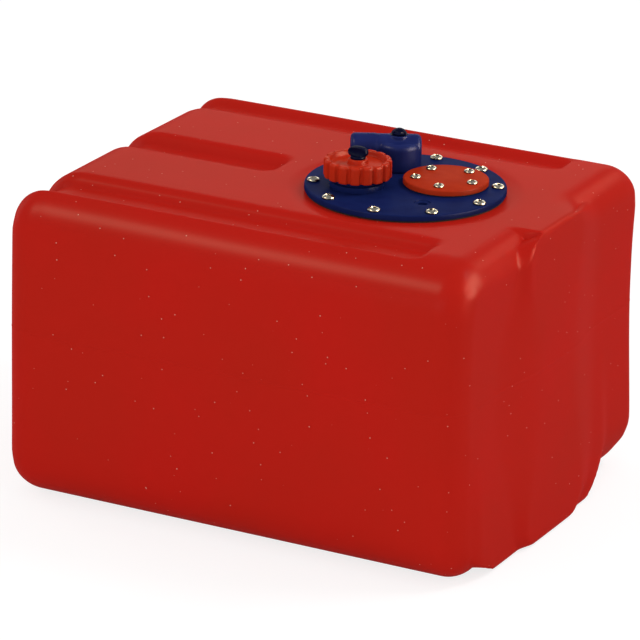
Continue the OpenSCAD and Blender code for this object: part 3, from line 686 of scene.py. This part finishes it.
carve(elbow, lie_along(turned("barrel", barrel, 80), barrel_z), "UNION")
carve(elbow, turned("crown", [
    (0, barrel_z), (crown_r, barrel_z), (crown_r, crown_top), (0, crown_top)], 48), "UNION")
carve(elbow, turned("spigot", [(0, -31), (9.7, -31), (10, -30.7), (10, 1), (0, 1)], 64), "UNION")
fuse = elbow.modifiers.new("fuse", "REMESH")
fuse.mode, fuse.voxel_size = "VOXEL", voxel * MM
soften = elbow.modifiers.new("soften", "SMOOTH")
soften.factor, soften.iterations = 0.5, 7
bpy.context.view_layer.update()
fused = bpy.data.meshes.new_from_object(elbow.evaluated_get(bpy.context.evaluated_depsgraph_get()))
elbow.modifiers.clear()
elbow.data = fused
fused.materials.clear()
carve(elbow, lie_along(turned("hose_bore", [(0, 0), (5, 0), (5, 60), (0, 60)], 48), barrel_z))
carve(elbow, turned("chamber", [
    (0, -40), (6, -40), (6, -5), (4, -5), (4, 8), (7.9, 8), (7.9, 40), (0, 40)], 48))
elbow_place = Matrix.Translation(Vector((swivel[0], swivel[1], top)) * MM)
elbow.data.transform(elbow_place @ Matrix.Rotation(heading, 4, "Z"))
elbow.data.name = "elbow_moulding"
elbow_blue = finish(
    "elbow blue plastic", moulded_skin,
    {"Colour": (0.0095, 0.0155, 0.1, 1), "Mottle": (0.013, 0.022, 0.122, 1), "Mottle Scale": 70,
     "Grain Scale": 1200, "Smoothest": 0.3, "Roughest": 0.46}, 0.1, 0.0004, Specular_IOR_Level=0,
    Coat_Weight=0.1, Coat_Roughness=0.3)
elbow.data.materials.append(elbow_blue)
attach(elbow, "elbow")
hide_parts("hose_elbow")

# Tap key: half-round thumb key of dark blue plastic, pressed on the stem of the tap in the elbow.
# Its blade stands in line with the hose tail when the tap is open.
key_low, key_high = (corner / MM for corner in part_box("tap_key"))
key_r, key_half = 7.75, 2.6
arc_z = key_high.z - key_r
low_angle = math.degrees(math.asin((key_low.z + 1 - arc_z) / key_r))
outline = [(key_r * math.cos(math.radians(t)), arc_z + key_r * math.sin(math.radians(t)))
           for t in np.linspace(low_angle, 180 - low_angle, 40)]


def key_layer(depth, inset):
    share = 1 - inset / key_r
    return [(x * share, depth, max(arc_z + (z - arc_z) * share, outline[0][1])) for x, z in outline]


layers = [key_layer(d, i) for d, i in (
    (-key_half, 0.7), (-key_half + 0.2, 0.25), (-key_half + 0.7, 0),
    (key_half - 0.7, 0), (key_half - 0.2, 0.25), (key_half, 0.7))]
count = len(outline)
faces = band_faces(len(layers), count)
faces += [tuple(range(count)), tuple(reversed(range((len(layers) - 1) * count, len(layers) * count)))]
key = mesh_object("tap_thumb_key", [p for ring in layers for p in ring], faces, 45)
bm = bmesh.new()
bm.from_mesh(key.data)
bmesh.ops.recalc_face_normals(bm, faces=bm.faces)
bm.to_mesh(key.data)
bm.free()
key_foot = [(r, key_low.z + z) for r, z in (
    (0, 0), (5.9, 0), (6.2, 0.3), (6.2, 1.2), (5.8, 1.5), (4.8, 1.7), (4.6, 2.8), (4.1, 3.2), (0, 3.3))]
carve(key, turned("key_foot", key_foot, 48), "UNION", 45)
key_place = Matrix.Translation(Vector((swivel[0], swivel[1], 0)) * MM)
key.data.transform(key_place @ Matrix.Rotation(heading, 4, "Z"))
key.data.materials.append(navy_plastic)
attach(key, "tap")
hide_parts("tap_key")

# Hidden metal and rubber: inserts, gaskets, rings, clip, nut, dip tube, strainer and the tap's plug.
# Their solids are right as they are, so they only take the finish of the real material.
black_rubber = finish(
    "black rubber", moulded_skin,
    {"Colour": (0.022, 0.022, 0.022, 1), "Mottle": (0.032, 0.031, 0.03, 1), "Mottle Scale": 200,
     "Grain Scale": 2200, "Smoothest": 0.6, "Roughest": 0.8}, 0.15, 0.0003, Specular_IOR_Level=0.04)
natural_nylon = finish(
    "natural nylon", moulded_skin,
    {"Colour": (0.74, 0.71, 0.61, 1), "Mottle": (0.68, 0.64, 0.54, 1), "Mottle Scale": 120,
     "Grain Scale": 1500, "Smoothest": 0.35, "Roughest": 0.5}, 0.1, 0.0003, Specular_IOR_Level=0.35)
turned_brass = finish(
    "turned brass", drawn_metal,
    {"Colour": (0.62, 0.42, 0.14, 1), "Stain": (0.45, 0.28, 0.09, 1), "Streak Scale": 700,
     "Smoothest": 0.16, "Roughest": 0.36}, 0.08, 0.0002, Metallic=1.0)
drawn_aluminium = finish(
    "drawn aluminium", drawn_metal,
    {"Colour": (0.7, 0.7, 0.72, 1), "Stain": (0.56, 0.56, 0.58, 1), "Streak Scale": 600,
     "Smoothest": 0.22, "Roughest": 0.42}, 0.06, 0.0002, Metallic=1.0)
for material, names in (
        (black_rubber, ("flange_gasket", "cover_gasket", "cap_seal", "vent_oring", "elbow_oring", "tap_oring")),
        (turned_brass, ("flange_inserts", "cover_inserts", "tap_plug")), (stainless, ("vent_clip",)),
        (natural_nylon, ("cap_slip_washer", "foot_strainer")), (drawn_aluminium, ("dip_tube",)),
        (elbow_blue, ("elbow_nut",)), (navy_plastic, ("tap_gland",))):
    for name in names:
        for slot in frame["nodes"][name].material_slots:
            slot.material = material

# Floor, light and camera: a plain pale floor under soft studio light, seen from the front right.
# Four strips show only as highlights on glossy faces.
floor_half, floor_z, floor_grey, floor_glow, glow_share = 9000, -0.3, 0.86, 1.22, 0.65
floor_points = [(x * floor_half, y * floor_half, floor_z) for x, y in ((-1, -1), (1, -1), (1, 1), (-1, 1))]
floor = mesh_object("floor", floor_points, [(0, 1, 2, 3)])
pale = bpy.data.materials.new("pale floor")
pale.use_nodes = True
tree = pale.node_tree
tree.nodes.clear()
matt = tree.nodes.new("ShaderNodeBsdfDiffuse")
matt.inputs["Color"].default_value = (floor_grey, floor_grey, floor_grey, 1)
lift = tree.nodes.new("ShaderNodeEmission")
lift.inputs["Strength"].default_value = floor_glow


def seen(tree):
    """One where the camera sees a surface itself, through glass or in a reflection."""
    path = tree.nodes.new("ShaderNodeLightPath")
    value = path.outputs["Is Camera Ray"]
    for label in ("Is Glossy Ray", "Is Transmission Ray"):
        most = tree.nodes.new("ShaderNodeMath")
        most.operation = "MAXIMUM"
        tree.links.new(value, most.inputs[0])
        tree.links.new(path.outputs[label], most.inputs[1])
        value = most.outputs[0]
    return value


both = tree.nodes.new("ShaderNodeMixShader")
both.inputs[0].default_value = glow_share
choice = tree.nodes.new("ShaderNodeMixShader")
out = tree.nodes.new("ShaderNodeOutputMaterial")
tree.links.new(matt.outputs[0], both.inputs[1])
tree.links.new(lift.outputs[0], both.inputs[2])
tree.links.new(seen(tree), choice.inputs[0])
tree.links.new(matt.outputs[0], choice.inputs[1])
tree.links.new(both.outputs[0], choice.inputs[2])
tree.links.new(choice.outputs[0], out.inputs["Surface"])
floor.data.materials.append(pale)

world = bpy.data.worlds.new("studio")
bpy.context.scene.world = world
world.use_nodes = True
tree = world.node_tree
tree.nodes.clear()
shown = tree.nodes.new("ShaderNodeBackground")
fill = tree.nodes.new("ShaderNodeBackground")
fill.inputs["Strength"].default_value = 0.6
choice = tree.nodes.new("ShaderNodeMixShader")
out = tree.nodes.new("ShaderNodeOutputWorld")
for node in (shown, fill):
    node.inputs["Color"].default_value = (1, 1, 1, 1)
tree.links.new(seen(tree), choice.inputs[0])
tree.links.new(fill.outputs[0], choice.inputs[1])
tree.links.new(shown.outputs[0], choice.inputs[2])
tree.links.new(choice.outputs[0], out.inputs["Surface"])

middle = Vector((0, 0, 0.16))
for label, azimuth, elevation, distance, wide, high, power, colour, lit in (
        ("key", 118, 52, 2.3, 0.6, 0.4, 13.2, (1, 1, 1), True),
        ("front", 0, 14, 2.4, 1.6, 0.9, 10.6, (1, 1, 1), True),
        ("right", 84, 35, 1.6, 0.2, 0.26, 0.7, (1, 0.88, 0.7), True),
        ("left", -100, 12, 1.7, 0.5, 0.8, 4, (1, 0.92, 0.82), True),
        ("front strip", -38, 46, 2.3, 1.3, 0.5, 68, (1, 0.8, 0.55), False),
        ("right strip", 97, 22, 0.8, 0.6, 0.54, 36, (1, 0.8, 0.55), False),
        ("back strip", -153, 20, 2.2, 1.6, 0.8, 13, (1, 0.93, 0.7), False),
        ("back right strip", 160, 28, 2.0, 0.7, 0.6, 12, (1, 0.8, 0.55), False)):
    lamp = bpy.data.lights.new(label, "AREA")
    lamp.shape, lamp.size, lamp.size_y, lamp.energy, lamp.color = "RECTANGLE", wide, high, power, colour
    a, e = math.radians(azimuth), math.radians(elevation)
    away = Vector((math.sin(a) * math.cos(e), -math.cos(a) * math.cos(e), math.sin(e)))
    obj = bpy.data.objects.new(label, lamp)
    bpy.context.scene.collection.objects.link(obj)
    obj.visible_diffuse = lit
    facing = away.to_track_quat("Z", "Y").to_matrix().to_4x4()
    obj.matrix_world = Matrix.Translation(middle + away * distance) @ facing

azimuth, elevation, roll = (math.radians(v) for v in (27.036, 19.657, 1.45))
aim, distance = Vector((-8.96, -1.92, 150.8)), 4.3638
level_part = math.cos(elevation)
back = Vector((math.sin(azimuth) * level_part, -math.cos(azimuth) * level_part, math.sin(elevation)))
right = Vector((math.cos(azimuth), math.sin(azimuth), 0))
up = back.cross(right)
across = right * math.cos(roll) + up * math.sin(roll)
above = up * math.cos(roll) - right * math.sin(roll)
lens = bpy.data.cameras.new("camera")
lens.sensor_width, lens.lens, lens.clip_end = 36, 272.74, 100
camera = bpy.data.objects.new("camera", lens)
bpy.context.scene.collection.objects.link(camera)
camera.matrix_world = Matrix((across, above, back)).transposed().to_4x4()
camera.location = aim * MM + back * distance
bpy.context.scene.camera = camera
bpy.context.scene.view_settings.view_transform = "Standard"
